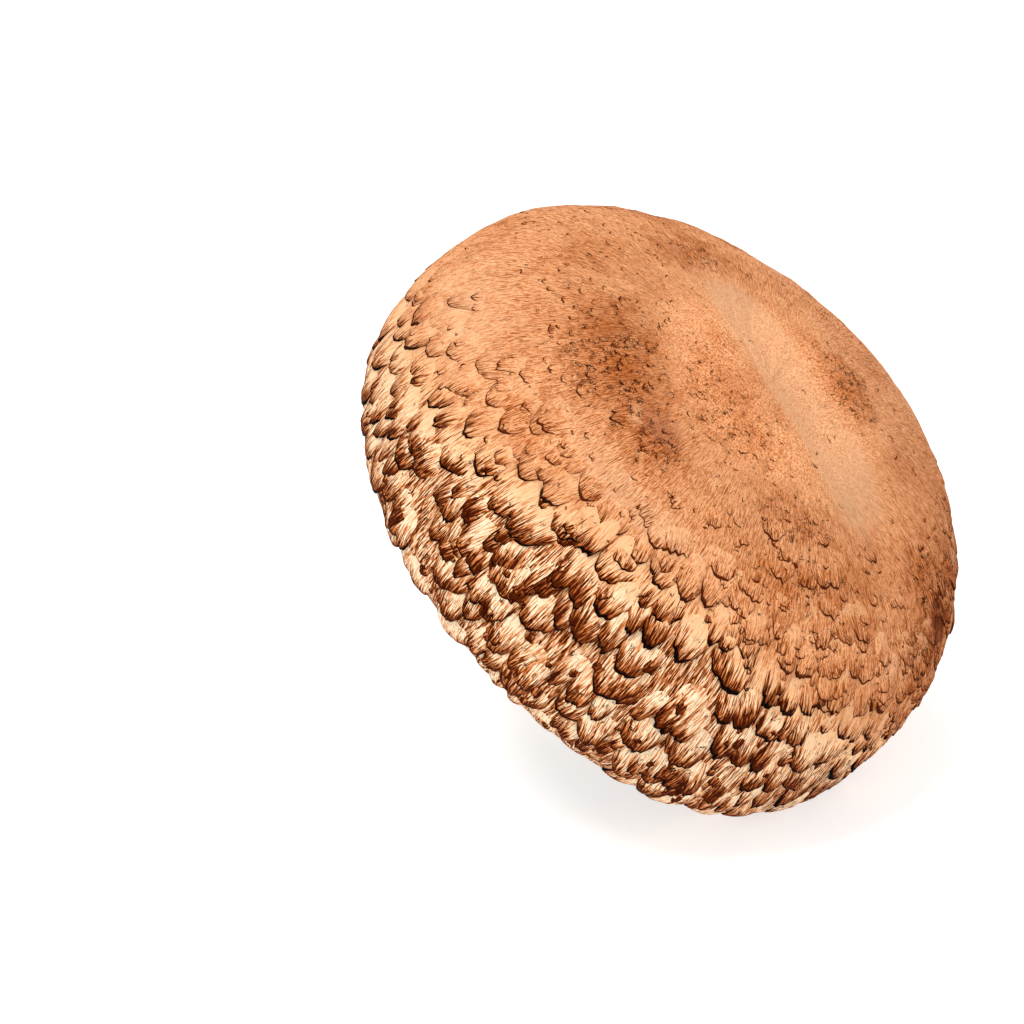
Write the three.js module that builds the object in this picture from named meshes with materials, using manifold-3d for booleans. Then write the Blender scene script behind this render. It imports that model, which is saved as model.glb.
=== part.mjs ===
// A portobello mushroom, lying tilted on a table: it rests on the edge of its cap and on the rim of its
// cut stem. Millimetres, +Z up, the table top at z = 0.
//
// Cap, gills and stem are first shaped upright, about the mushroom's own axis. There z = 0 lies just under
// the cap's margin, with the crown above it and the stem's foot below. Angles run round that axis from the
// side that the mushroom leans to. The whole mushroom is then tilted and set down.

import * as THREE from 'three';
import { mergeVertices } from 'three/addons/utils/BufferGeometryUtils.js';
import Module from 'manifold-3d';

const wasm = await Module();
wasm.setup();

// Cap: a thick bun, widest two fifths of the way up.
const CAP_RADIUS = 55.2;
const DOME_RISE = 31.2;
const WALL_DROP = 23.4;
const DOME_POWER = 2.38;
const WALL_POWER = 3.6;

// Margin: the skin turns under and in, and ends in a blunt lip round the gills.
const TURN_RADIUS = 47.5;
const LIP_RADIUS = 45;
const LIP_LOW = 3.6;
const CHAMBER_RADIUS = 43;
const CHAMBER_MOUTH = 6;
const CEILING_EDGE = 15.5;
const CEILING_MIDDLE = 19.5;
const CEILING_BREAK = 13.5;
const LIP_BLUNTNESS = 0.65;

// Out of round: the cap's radius waves a little, one side is pushed in, the margin rises and falls like a
// saddle, and a broad furrow crosses the crown.
const OVAL = 0.011;
const OVAL_TURN = 1.64;
const LOBES = 0.0095;
const LOBES_TURN = 1.21;
const CORNERS = 0.0064;
const CORNERS_TURN = 1.05;
const DENT = 0.027;
const DENT_TURN = -2.7;
const DENT_SPREAD = 0.35;
const MARGIN_WAVE = 2.75;
const MARGIN_WAVE_TURN = -0.38;
const MARGIN_WAVE_REACH = 31;
const FURROW_DEPTH = 3.2;
const FURROW_WIDTH = 8.5;
const FURROW_OFFSET = 7.4;
const FURROW_ANGLE = 1.065;
const FURROW_MIDDLE = -5;
const FURROW_REACH = 32;

// Scales: staggered rows that start at the margin, each scale with its tip towards the margin. The rows
// wander up and down, and the scales stand out most on one side and fade out towards the crown.
const SCALE_ROWS = 9;
const ROW_PITCH = 5.2;
const ROW_START = 0.5;
const ROW_WAVE = 1.2;
const ROW_RIPPLE = 0.6;
const SCALES_ROUND = 44;
const STATIONS_PER_SCALE = 4;
const TIP_DROP = 1.1;
const TIP_SHAPE = [1, 0.6, -0.6, 0.6];
const TIP_LEVEL = [1, 0.9, 0.5, 0.9];
const LIP_HEIGHT = 1.15;
const LIP_HEIGHT_WEAK = 0.3;
const STEP_RUN = 0.4;
const TIP_TURN = 0.5;
const SCALY_SIDE = -1.3;
const SCALY_SIDE_POWER = 1.5;
const SCALY_SHARE_FAR = 0.5;
const SCALY_REACH_FAR = 22;
const SCALY_REACH_NEAR = 54;
const SCALY_FADE_START = 0.55;

// Bare dome above the scales: rings at these shares of the way down from the crown.
const DOME_RINGS_COARSE = [0.2, 0.42, 0.62];
const DOME_RINGS_FINE = [0.8, 1];
const DOME_MARGIN = 2;

// Gills: full blades and short blades hang from a thin ring under the cap's flesh.
const GAP = 0.3;
const FULL_BLADES = 56;
const BLADE_THICKNESS = 0.75;
const GILL_PLATE = 1.0;
const GILL_INNER = 13.2;
const GILL_OUTER = CHAMBER_RADIUS - GAP - 0.1;
const GILL_EDGE_OUTER = 7.6;
const GILL_EDGE_INNER = 9.4;
const GILL_EDGE_BOW = 0.2;
const GILL_END_SETBACK = 0.4;
const GILL_END_RISE = 3.4;
const SHORT_BLADE_START = 27;
const SHORT_BLADE_SPREAD = 7;
const BLADE_JITTER = 0.25;

// Stem: pale stalk with the remnant of its ring, bent a little to one side and cut at the foot.
const STEM_SIDES = 48;
const STEM_TOP_RADIUS = 10.6;
const STEM_RADIUS = 11.4;
const STEM_ROUGHNESS = 0.3;
const STEM_RING_Z = -7;
const STEM_RING_RADIUS = 14.6;
const STEM_RING_RAGGED = 0.9;
const FOOT_RADIUS = 13.6;
const FOOT_Z = -20.6;
const FOOT_ROUND = 1.6;
const BEND_X = 3;
const BEND_Y = 6;

// Rest: tilt of the axis, and where its point at z = 0 then stands.
const LEAN = THREE.MathUtils.degToRad(36);
const AXIS_POINT = new THREE.Vector3(-12.35, -0.1, 25.05);

const TAU = 2 * Math.PI;

/** A steady random number from 0 to 1 for the scale in this row and place. */
function draw(row, place, salt) {
  const value = Math.sin(row * 12.9898 + place * 78.233 + salt * 37.719) * 43758.5453;
  return value - Math.floor(value);
}

/** How far this row of scales runs above or below its level in this direction. */
function rowWave(row, angle) {
  const wave = ROW_WAVE * Math.sin(2 * angle + 0.4 * row) + ROW_RIPPLE * Math.sin(5 * angle - 0.9 * row);
  return wave * Math.min(1, row / 3);
}

/** A soft step from 0 to 1 between these two values. */
function smooth(low, high, value) {
  const t = Math.min(1, Math.max(0, (value - low) / (high - low)));
  return t * t * (3 - 2 * t);
}

/** The skin's outline from the crown to the turn under the margin, with the length along it. */
function skinOutline(steps = 600) {
  const points = [];
  const widest = WALL_DROP;
  for (let i = 0; i <= steps; i += 1) {
    const t = (i / steps) * Math.PI / 2;
    points.push([
      CAP_RADIUS * Math.sin(t) ** (2 / DOME_POWER),
      widest + DOME_RISE * Math.cos(t) ** (2 / DOME_POWER),
    ]);
  }
  for (let i = 1; i <= steps; i += 1) {
    const t = (i / steps) * Math.PI / 2;
    const r = CAP_RADIUS * Math.cos(t) ** (2 / WALL_POWER);
    if (r < TURN_RADIUS) break;
    points.push([r, widest - WALL_DROP * Math.sin(t) ** (2 / WALL_POWER)]);
  }
  const along = [0];
  for (let i = 1; i < points.length; i += 1) {
    const step = Math.hypot(points[i][0] - points[i - 1][0], points[i][1] - points[i - 1][1]);
    along.push(along[i - 1] + step);
  }
  return { points, along, length: along[along.length - 1] };
}

const SKIN = skinOutline();

/** Radius, height and outward direction of the skin at this distance up from the margin. */
function skinAt(up) {
  const { points, along, length } = SKIN;
  const target = Math.min(length, Math.max(0, length - up));
  let i = 1;
  while (i < along.length - 1 && along[i] < target) i += 1;
  const t = (target - along[i - 1]) / (along[i] - along[i - 1]);
  const [r0, z0] = points[i - 1];
  const [r1, z1] = points[i];
  const run = Math.hypot(r1 - r0, z1 - z0);
  return {
    r: r0 + t * (r1 - r0),
    z: z0 + t * (z1 - z0),
    outR: -(z1 - z0) / run,
    outZ: (r1 - r0) / run,
  };
}

/** The cap's radius in this direction, as a share of its middling radius. */
function waviness(angle) {
  const fromDent = Math.atan2(Math.sin(angle - DENT_TURN), Math.cos(angle - DENT_TURN));
  const oval = OVAL * Math.cos(2 * (angle - OVAL_TURN));
  const lobes = LOBES * Math.cos(3 * (angle - LOBES_TURN));
  const corners = CORNERS * Math.cos(4 * (angle - CORNERS_TURN));
  return 1 + oval + lobes + corners - DENT * Math.exp(-((fromDent / DENT_SPREAD) ** 2));
}

/** How far the cap's lower part hangs down in this direction. It fades out up the wall. */
function marginDrop(angle, z) {
  return MARGIN_WAVE * Math.cos(2 * (angle - MARGIN_WAVE_TURN)) * (1 - smooth(0, MARGIN_WAVE_REACH, z));
}

/** How far the crown's furrow sinks at a place in plan. */
function furrow(x, y) {
  const across = x * Math.cos(FURROW_ANGLE) + y * Math.sin(FURROW_ANGLE) - FURROW_OFFSET;
  const run = -x * Math.sin(FURROW_ANGLE) + y * Math.cos(FURROW_ANGLE) - FURROW_MIDDLE;
  const trough = Math.exp(-((across / FURROW_WIDTH) ** 2));
  return FURROW_DEPTH * trough * Math.exp(-((run / FURROW_REACH) ** 4));
}

/** A point of the skin: angle round the axis, distance up from the margin, height above the skin. */
function skinPoint(angle, up, height) {
  const { r, z, outR, outZ } = skinAt(up);
  const wave = waviness(angle);
  const radius = (r + height * outR) * wave;
  const x = radius * Math.cos(angle);
  const y = radius * Math.sin(angle);
  return [x, y, z + height * outZ - marginDrop(angle, z) - furrow(x, y)];
}

/** How strong the scales are: most on one side and near the margin, hardly any towards the crown. */
function scaliness(angle, up) {
  const side = (0.5 + 0.5 * Math.cos(angle - SCALY_SIDE)) ** SCALY_SIDE_POWER;
  const reach = SCALY_REACH_FAR + (SCALY_REACH_NEAR - SCALY_REACH_FAR) * side;
  const fade = 1 - smooth(SCALY_FADE_START * reach, reach, up);
  return (SCALY_SHARE_FAR + (1 - SCALY_SHARE_FAR) * side) * fade;
}

/** Rings of points from the crown, over the scales and round the margin, to the flesh under the dome. */
function capRings() {
  const stations = SCALES_ROUND * STATIONS_PER_SCALE;
  const rings = [];
  const ring = (count, place) => {
    const points = [];
    for (let m = 0; m < count; m += 1) points.push(place((m / count) * TAU, m));
    rings.push(points);
  };
  const crown = SKIN.length;
  const scaleTop = SCALE_ROWS * ROW_PITCH + DOME_MARGIN;

  // Crown and dome, coarser towards the pole.
  for (const share of DOME_RINGS_COARSE) {
    ring(stations / 4, (angle) => skinPoint(angle, crown - share * (crown - scaleTop), 0));
  }
  for (const share of DOME_RINGS_FINE) {
    ring(stations / 2, (angle) => skinPoint(angle, crown - share * (crown - scaleTop), 0));
  }

  // Two rings a row: the ragged lip of its scales, and the foot of the step under them.
  for (let row = SCALE_ROWS - 1; row >= 0; row -= 1) {
    const shift = row % 2 === 0 ? 0 : STATIONS_PER_SCALE / 2;
    const lip = (angle, m) => {
      const local = (m + shift) % STATIONS_PER_SCALE;
      const place = Math.floor((m + shift) / STATIONS_PER_SCALE) % SCALES_ROUND;
      const strength = scaliness(angle, row * ROW_PITCH);
      const drop = TIP_SHAPE[local] * TIP_DROP * (0.4 + 1.2 * draw(row, place, 1));
      const level = TIP_LEVEL[local] * (0.55 + 0.7 * draw(row, place, 2));
      const turn = (draw(row, m, 3) - 0.5) * TIP_TURN * (TAU / stations);
      return {
        angle: angle + turn,
        up: (row + ROW_START) * ROW_PITCH + rowWave(row, angle) - drop,
        height: level * (LIP_HEIGHT_WEAK + (LIP_HEIGHT - LIP_HEIGHT_WEAK) * strength),
      };
    };
    ring(stations, (angle, m) => {
      const edge = lip(angle, m);
      return skinPoint(edge.angle, edge.up, edge.height);
    });
    ring(stations, (angle, m) => {
      const edge = lip(angle, m);
      return skinPoint(edge.angle, edge.up - STEP_RUN, 0);
    });
  }

  // Turned-under margin, blunt lip, wall of the gill chamber, and the flesh that the gills hang from.
  const under = (r, z) => (angle) => {
    const radius = r * (r > CHAMBER_RADIUS ? waviness(angle) : 1);
    const drop = z > CHAMBER_MOUTH ? 0 : marginDrop(angle, z);
    return [radius * Math.cos(angle), radius * Math.sin(angle), z - drop];
  };
  ring(stations / 2, under(LIP_RADIUS + LIP_BLUNTNESS, LIP_LOW));
  ring(stations / 2, under(LIP_RADIUS - LIP_BLUNTNESS, LIP_LOW + 0.5 * LIP_BLUNTNESS));
  ring(stations / 2, under(CHAMBER_RADIUS, CHAMBER_MOUTH));
  ring(stations / 2, under(CHAMBER_RADIUS, CEILING_EDGE));
  ring(stations / 4, under(CEILING_BREAK, CEILING_MIDDLE));
  return rings;
}

/** Closed mesh over rings that each have as many points as the last one, twice as many, or half. */
function meshOfRings(rings, first, last) {
  const vertices = [];
  const triangles = [];
  const starts = rings.map((points) => {
    const start = vertices.length;
    vertices.push(...points);
    return start;
  });
  const corner = (i, m) => starts[i] + ((m + rings[i].length) % rings[i].length);
  for (let i = 0; i + 1 < rings.length; i += 1) {
    const above = rings[i].length;
    const below = rings[i + 1].length;
    if (above === below) {
      for (let m = 0; m < above; m += 1) {
        const [a, b, c, d] = [corner(i, m), corner(i + 1, m), corner(i + 1, m + 1), corner(i, m + 1)];
        triangles.push([a, b, c], [a, c, d]);
      }
    } else if (below === 2 * above) {
      for (let m = 0; m < above; m += 1) {
        const [a, d] = [corner(i, m), corner(i, m + 1)];
        const [b, e, c] = [corner(i + 1, 2 * m), corner(i + 1, 2 * m + 1), corner(i + 1, 2 * m + 2)];
        triangles.push([a, b, e], [a, e, d], [d, e, c]);
      }
    } else {
      for (let m = 0; m < below; m += 1) {
        const [a, e, d] = [corner(i, 2 * m), corner(i, 2 * m + 1), corner(i, 2 * m + 2)];
        const [b, c] = [corner(i + 1, m), corner(i + 1, m + 1)];
        triangles.push([a, b, e], [e, b, c], [e, c, d]);
      }
    }
  }
  const top = vertices.push(first) - 1;
  const bottom = vertices.push(last) - 1;
  const end = rings.length - 1;
  for (let m = 0; m < rings[0].length; m += 1) triangles.push([top, corner(0, m), corner(0, m + 1)]);
  for (let m = 0; m < rings[end].length; m += 1) {
    triangles.push([bottom, corner(end, m + 1), corner(end, m)]);
  }
  const geometry = new THREE.BufferGeometry();
  geometry.setAttribute('position', new THREE.Float32BufferAttribute(vertices.flat(), 3));
  geometry.setIndex(triangles.flat());
  return geometry;
}

/** The cap in one piece: skin with its scales, margin, and flesh round the gill chamber. */
function capGeometry() {
  const crown = skinPoint(0, SKIN.length, 0);
  return meshOfRings(capRings(), crown, [0, 0, CEILING_MIDDLE]);
}

/** Height of the gill ring's upper face at this radius, just clear of the cap's flesh. */
function gillTop(r) {
  const t = (r - CEILING_BREAK) / (CHAMBER_RADIUS - CEILING_BREAK);
  return CEILING_MIDDLE + t * (CEILING_EDGE - CEILING_MIDDLE) - GAP - 0.05;
}

/** One blade, from this radius out to the margin: a thin upright plate with a bowed lower edge. */
function bladeGeometry(start) {
  const sink = 0.5 * GILL_PLATE;
  const inner = start + GILL_END_SETBACK;
  const outer = GILL_OUTER - GILL_END_SETBACK;
  const edge = (r) => {
    const t = (r - GILL_INNER) / (GILL_OUTER - GILL_INNER);
    return GILL_EDGE_INNER + t * (GILL_EDGE_OUTER - GILL_EDGE_INNER);
  };
  const at = (share) => inner + share * (outer - inner);
  const outline = new THREE.Shape();
  outline.moveTo(inner, gillTop(inner) - sink);
  outline.lineTo(inner, edge(inner) + GILL_END_RISE);
  outline.lineTo(at(0.08), edge(at(0.08)) + GILL_EDGE_BOW);
  outline.lineTo(at(1 / 3), edge(at(1 / 3)) - GILL_EDGE_BOW);
  outline.lineTo(at(2 / 3), edge(at(2 / 3)) - GILL_EDGE_BOW);
  outline.lineTo(outer, edge(outer) + GILL_EDGE_BOW);
  outline.lineTo(outer, gillTop(outer) - sink);
  const plate = new THREE.ExtrudeGeometry(outline, { depth: BLADE_THICKNESS, bevelEnabled: false });
  plate.translate(0, 0, -BLADE_THICKNESS / 2);
  plate.rotateX(Math.PI / 2);
  return plate;
}

/** The ring with all its blades, long and short in turn, each a little out of its even place. */
function gillsGeometry() {
  const ring = new THREE.LatheGeometry(
    [
      new THREE.Vector2(GILL_INNER, gillTop(GILL_INNER)),
      new THREE.Vector2(GILL_INNER, gillTop(GILL_INNER) - GILL_PLATE),
      new THREE.Vector2(GILL_OUTER, gillTop(GILL_OUTER) - GILL_PLATE),
      new THREE.Vector2(GILL_OUTER, gillTop(GILL_OUTER)),
      new THREE.Vector2(GILL_INNER, gillTop(GILL_INNER)),
    ],
    FULL_BLADES,
  );
  ring.rotateX(Math.PI / 2);
  const blades = [];
  for (let i = 0; i < 2 * FULL_BLADES; i += 1) {
    const full = i % 2 === 0;
    const start = full ? GILL_INNER : SHORT_BLADE_START + SHORT_BLADE_SPREAD * (draw(i, 0, 5) - 0.5);
    const turn = (i + BLADE_JITTER * (draw(i, 1, 5) - 0.5)) * (TAU / (2 * FULL_BLADES));
    blades.push(solid(bladeGeometry(start).rotateZ(turn)));
  }
  return blades.reduce((whole, blade) => whole.add(blade), solid(ring));
}

/** The stem, from the cap's flesh down past its ragged ring to the cut foot. */
function stemGeometry() {
  const top = CEILING_MIDDLE - GAP - 0.05;
  const bend = (z) => ((top - z) / (top - FOOT_Z)) ** 2;

  // Radius, height and share of the roughness, from the top down.
  const profile = [
    [STEM_TOP_RADIUS, top, 0],
    [STEM_TOP_RADIUS + 0.2, 6, 0.5],
    [STEM_RADIUS, 0, 0.7],
    [STEM_RADIUS + 0.1, STEM_RING_Z + 2.4, 0.8],
    [STEM_RING_RADIUS - 1.2, STEM_RING_Z + 1.2, 1.3],
    [STEM_RING_RADIUS, STEM_RING_Z - 0.4, STEM_RING_RAGGED / STEM_ROUGHNESS],
    [STEM_RING_RADIUS - 0.9, STEM_RING_Z - 1.3, STEM_RING_RAGGED / STEM_ROUGHNESS],
    [STEM_RADIUS + 0.3, STEM_RING_Z - 0.9, 0.8],
    [STEM_RADIUS + 0.6, STEM_RING_Z - 5, 1],
    [FOOT_RADIUS - 0.4, FOOT_Z + 6, 1],
    [FOOT_RADIUS, FOOT_Z + 3.2, 1],
    [FOOT_RADIUS - 0.3, FOOT_Z + FOOT_ROUND, 1],
    [FOOT_RADIUS - FOOT_ROUND, FOOT_Z, 0.3],
  ];
  const rings = profile.map(([r, z, rough], i) => {
    const points = [];
    for (let m = 0; m < STEM_SIDES; m += 1) {
      const angle = (m / STEM_SIDES) * TAU;
      const ribs = 0.3 * (Math.sin(3 * angle + 0.2 * i) + Math.sin(7 * angle + 1.3));
      const scatter = 0.8 * (draw(i, m, 7) - 0.5);
      const radius = r + rough * STEM_ROUGHNESS * (ribs + scatter);
      const x = radius * Math.cos(angle) + bend(z) * BEND_X;
      const y = radius * Math.sin(angle) + bend(z) * BEND_Y;
      points.push([x, y, z]);
    }
    return points;
  });
  return meshOfRings(rings, [0, 0, top], [BEND_X, BEND_Y, FOOT_Z]);
}

/** A solid that can be joined and cut, from a closed mesh. */
function solid(geometry) {
  const bare = geometry.clone();
  bare.deleteAttribute('normal');
  bare.deleteAttribute('uv');
  const merged = mergeVertices(bare, 1e-4);
  return new wasm.Manifold(new wasm.Mesh({
    numProp: 3,
    vertProperties: new Float32Array(merged.attributes.position.array),
    triVerts: new Uint32Array(merged.index.array),
  }));
}

/** A mesh that can be drawn and written, from a solid. */
function geometryOf(body) {
  const mesh = body.getMesh();
  const geometry = new THREE.BufferGeometry();
  geometry.setAttribute('position', new THREE.Float32BufferAttribute(mesh.vertProperties, 3));
  geometry.setIndex(Array.from(mesh.triVerts));
  geometry.computeVertexNormals();
  return geometry;
}

// The table top, seen from the upright mushroom: what reaches below it is pressed flat.
const placement = new THREE.Matrix4().makeRotationY(LEAN).setPosition(AXIS_POINT);
const table = new THREE.BoxGeometry(400, 400, 100).translate(0, 0, -50);
table.applyMatrix4(placement.clone().invert());
const tableBlock = solid(table);

/** One named part of the mushroom, pressed flat where it meets the table. */
function piece(name, body, material) {
  const mesh = new THREE.Mesh(geometryOf(body.subtract(tableBlock)), material);
  mesh.name = name;
  return mesh;
}

const capSkin = new THREE.MeshStandardMaterial({ color: 0xb9783f, roughness: 0.75, metalness: 0 });
const gillBrown = new THREE.MeshStandardMaterial({ color: 0x5a3426, roughness: 0.85, metalness: 0 });
const stemCream = new THREE.MeshStandardMaterial({ color: 0xe6d3b3, roughness: 0.8, metalness: 0 });

const mushroom = new THREE.Group();
mushroom.add(piece('cap', solid(capGeometry()), capSkin));
mushroom.add(piece('gills', gillsGeometry(), gillBrown));
mushroom.add(piece('stem', solid(stemGeometry()), stemCream));
mushroom.rotation.y = LEAN;
mushroom.position.copy(AXIS_POINT);

const part = new THREE.Group();
part.add(mushroom);

export default part;
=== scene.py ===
# A portobello mushroom lying on a pale table, on the edge of its cap and the rim of its cut stem.
# Sizes are in millimetres, and angles run round the mushroom's own axis from the side that it leans to.

import math

import bmesh
import bpy
import numpy as np
from mathutils import Matrix, Vector, noise
from mathutils.bvhtree import BVHTree


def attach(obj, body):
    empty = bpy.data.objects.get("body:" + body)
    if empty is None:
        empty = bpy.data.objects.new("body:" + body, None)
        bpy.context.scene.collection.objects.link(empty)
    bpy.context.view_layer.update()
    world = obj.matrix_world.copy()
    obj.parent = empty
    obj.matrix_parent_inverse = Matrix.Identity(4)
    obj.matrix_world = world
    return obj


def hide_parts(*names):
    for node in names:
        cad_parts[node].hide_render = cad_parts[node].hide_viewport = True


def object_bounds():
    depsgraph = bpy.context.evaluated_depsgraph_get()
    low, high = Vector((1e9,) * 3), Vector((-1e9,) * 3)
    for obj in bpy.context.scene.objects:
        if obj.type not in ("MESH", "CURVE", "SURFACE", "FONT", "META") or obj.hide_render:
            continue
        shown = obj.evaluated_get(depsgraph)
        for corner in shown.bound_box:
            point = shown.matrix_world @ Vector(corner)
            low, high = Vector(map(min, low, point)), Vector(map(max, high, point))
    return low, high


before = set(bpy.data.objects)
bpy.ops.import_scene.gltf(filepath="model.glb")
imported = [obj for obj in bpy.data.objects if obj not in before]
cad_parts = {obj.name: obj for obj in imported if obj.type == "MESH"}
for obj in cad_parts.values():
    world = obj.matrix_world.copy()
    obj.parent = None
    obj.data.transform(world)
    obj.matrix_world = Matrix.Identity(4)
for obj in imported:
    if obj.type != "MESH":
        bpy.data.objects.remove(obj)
cad_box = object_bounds()


# ---- Cap: the skin -------------------------------------------
# The cap is a thick bun of pale flesh under a brown fibrous skin. It grew in one piece: the skin turns
# under at the margin, ends in a blunt lip, and inside the lip the flesh forms the roof over the gills.

CAP_RADIUS = 55.2
DOME_RISE = 31.2
WALL_DROP = 23.4
DOME_POWER = 2.38
WALL_POWER = 3.6
TURN_RADIUS = 47.5
LIP_LOW = 3.6
CHAMBER_RADIUS = 43.0
CHAMBER_MOUTH = 6.0
CEILING_EDGE = 15.5
CEILING_MIDDLE = 19.5
CEILING_BREAK = 13.5

OVAL, OVAL_TURN = 0.011, 1.64
LOBES, LOBES_TURN = 0.0095, 1.21
CORNERS, CORNERS_TURN = 0.0064, 1.05
DENT, DENT_TURN, DENT_SPREAD = 0.027, -2.7, 0.35
MARGIN_WAVE, MARGIN_WAVE_TURN, MARGIN_WAVE_REACH = 2.75, -0.38, 31.0
FURROW_DEPTH, FURROW_WIDTH, FURROW_OFFSET = 3.2, 8.5, 7.4
FURROW_ANGLE, FURROW_MIDDLE, FURROW_REACH = 1.065, -5.0, 32.0

LEAN = math.radians(36)
AXIS_POINT = (-12.35, -0.1, 25.05)

SCALY_SIDE = -1.3
SCALY_SIDE_POWER = 1.5
SCALY_SHARE_FAR = 0.5
SCALY_REACH_FAR = 22.0
SCALY_REACH_NEAR = 54.0
SCALY_FADE_START = 0.55
SHAGGY_SIDE = -1.5
SHAGGY_SHARE_FAR = 0.25
SHAGGY_REACH_FAR = 26.0
SHAGGY_REACH_NEAR = 50.0
SHAGGY_MARGIN_SIDE = -2.3
SHAGGY_MARGIN_SHARE = 0.8
SHAGGY_MARGIN_FADE = (8, 24)
COMBED_FADE = (10, 32)
FURROW_PALE_HIGHLIGHT_FADE = (56, 70)

SKIN_STATIONS = 540
SKIN_RINGS = 140
LIP_RINGS = 10
ROOF_RINGS = 12
ROOF_WALL_END = 0.3
ROOF_SLOPE_END = 0.75
SLOPE_STEP = 0.3
SEAM_GAP = 1e-6

# The unevenness of the skin: height, size of the lumps and seed.
SKIN_LUMPS = [(0.35, 9, 3.1), (0.14, 3.2, 8.7), (0.06, 1.5, 5.2)]


def smooth(low, high, value):
    t = np.clip((value - low) / (high - low), 0, 1)
    return t * t * (3 - 2 * t)


def skin_outline(steps=600):
    """Radius, height and length along the skin, from the crown to the turn under the margin."""
    t = np.linspace(0, math.pi / 2, steps + 1)
    dome_r = CAP_RADIUS * np.sin(t) ** (2 / DOME_POWER)
    dome_z = WALL_DROP + DOME_RISE * np.cos(t) ** (2 / DOME_POWER)
    wall_r = CAP_RADIUS * np.cos(t[1:]) ** (2 / WALL_POWER)
    wall_z = WALL_DROP - WALL_DROP * np.sin(t[1:]) ** (2 / WALL_POWER)
    kept = wall_r >= TURN_RADIUS
    r = np.concatenate([dome_r, wall_r[kept]])
    z = np.concatenate([dome_z, wall_z[kept]])
    along = np.concatenate([[0], np.cumsum(np.hypot(np.diff(r), np.diff(z)))])
    return r, z, along


OUTLINE_R, OUTLINE_Z, OUTLINE_ALONG = skin_outline()
SKIN_LENGTH = OUTLINE_ALONG[-1]


def outline_radius(down):
    """Radius of the smooth cap, this far down the skin from the crown."""
    return np.interp(down, OUTLINE_ALONG, OUTLINE_R)


def outline_height(down):
    return np.interp(down, OUTLINE_ALONG, OUTLINE_Z)


def around(radius, angle, z):
    """Upright points, from their distance to the axis, their direction and their height."""
    return np.stack([radius * np.cos(angle), radius * np.sin(angle), z], axis=-1)


def waviness(angle):
    from_dent = np.arctan2(np.sin(angle - DENT_TURN), np.cos(angle - DENT_TURN))
    oval = OVAL * np.cos(2 * (angle - OVAL_TURN))
    lobes = LOBES * np.cos(3 * (angle - LOBES_TURN))
    corners = CORNERS * np.cos(4 * (angle - CORNERS_TURN))
    return 1 + oval + lobes + corners - DENT * np.exp(-((from_dent / DENT_SPREAD) ** 2))


def margin_drop(angle, z):
    fade = 1 - smooth(0, MARGIN_WAVE_REACH, z)
    return MARGIN_WAVE * np.cos(2 * (angle - MARGIN_WAVE_TURN)) * fade


def furrow_share(x, y):
    across = x * math.cos(FURROW_ANGLE) + y * math.sin(FURROW_ANGLE) - FURROW_OFFSET
    run = -x * math.sin(FURROW_ANGLE) + y * math.cos(FURROW_ANGLE) - FURROW_MIDDLE
    return np.exp(-((across / FURROW_WIDTH) ** 2)) * np.exp(-((run / FURROW_REACH) ** 4))


def skin_place(angle, up, height):
    """Place on the upright cap: angle round it, distance up from the margin, height above the skin."""
    down = SKIN_LENGTH - up
    z = outline_height(down)
    step_r = outline_radius(down + SLOPE_STEP) - outline_radius(down - SLOPE_STEP)
    step_z = outline_height(down + SLOPE_STEP) - outline_height(down - SLOPE_STEP)
    run = np.hypot(step_r, step_z)
    radius = (outline_radius(down) - height * step_z / run) * waviness(angle)
    x = radius * np.cos(angle)
    y = radius * np.sin(angle)
    top = z + height * step_r / run - margin_drop(angle, z) - FURROW_DEPTH * furrow_share(x, y)
    return np.stack([x, y, top], axis=-1)


def tilt(points):
    """Leans upright points in millimetres over to where the mushroom lies, in metres."""
    x = points[..., 0] * math.cos(LEAN) + points[..., 2] * math.sin(LEAN) + AXIS_POINT[0]
    y = points[..., 1] + AXIS_POINT[1]
    z = -points[..., 0] * math.sin(LEAN) + points[..., 2] * math.cos(LEAN) + AXIS_POINT[2]
    return np.stack([x, y, z], axis=-1) / 1000


def set_down(points):
    """The same, with what would reach below the table, or out of the solid's box, pressed flat on it."""
    return np.clip(tilt(points), tuple(cad_box[0]), tuple(cad_box[1]))


def scaliness(angle, up):
    """How far the scales stand out: most on one side and near the margin, hardly at all at the crown."""
    side = (0.5 + 0.5 * np.cos(angle - SCALY_SIDE)) ** SCALY_SIDE_POWER
    reach = SCALY_REACH_FAR + (SCALY_REACH_NEAR - SCALY_REACH_FAR) * side
    fade = 1 - smooth(SCALY_FADE_START * reach, reach, up)
    return (SCALY_SHARE_FAR + (1 - SCALY_SHARE_FAR) * side) * fade


def shagginess(angle, up):
    """How strongly the split skin shows cream flesh and dark fibres, which fades before the relief does."""
    side = (0.5 + 0.5 * np.cos(angle - SHAGGY_SIDE)) ** 3
    reach = SHAGGY_REACH_FAR + (SHAGGY_REACH_NEAR - SHAGGY_REACH_FAR) * side
    band = (SHAGGY_SHARE_FAR + (1 - SHAGGY_SHARE_FAR) * side) * (1 - smooth(0.5 * reach, reach, up))
    margin_side = (0.5 + 0.5 * np.cos(angle - SHAGGY_MARGIN_SIDE)) ** 2
    margin = SHAGGY_MARGIN_SHARE * margin_side * (1 - smooth(*SHAGGY_MARGIN_FADE, up))
    return np.maximum(band, margin)


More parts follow.
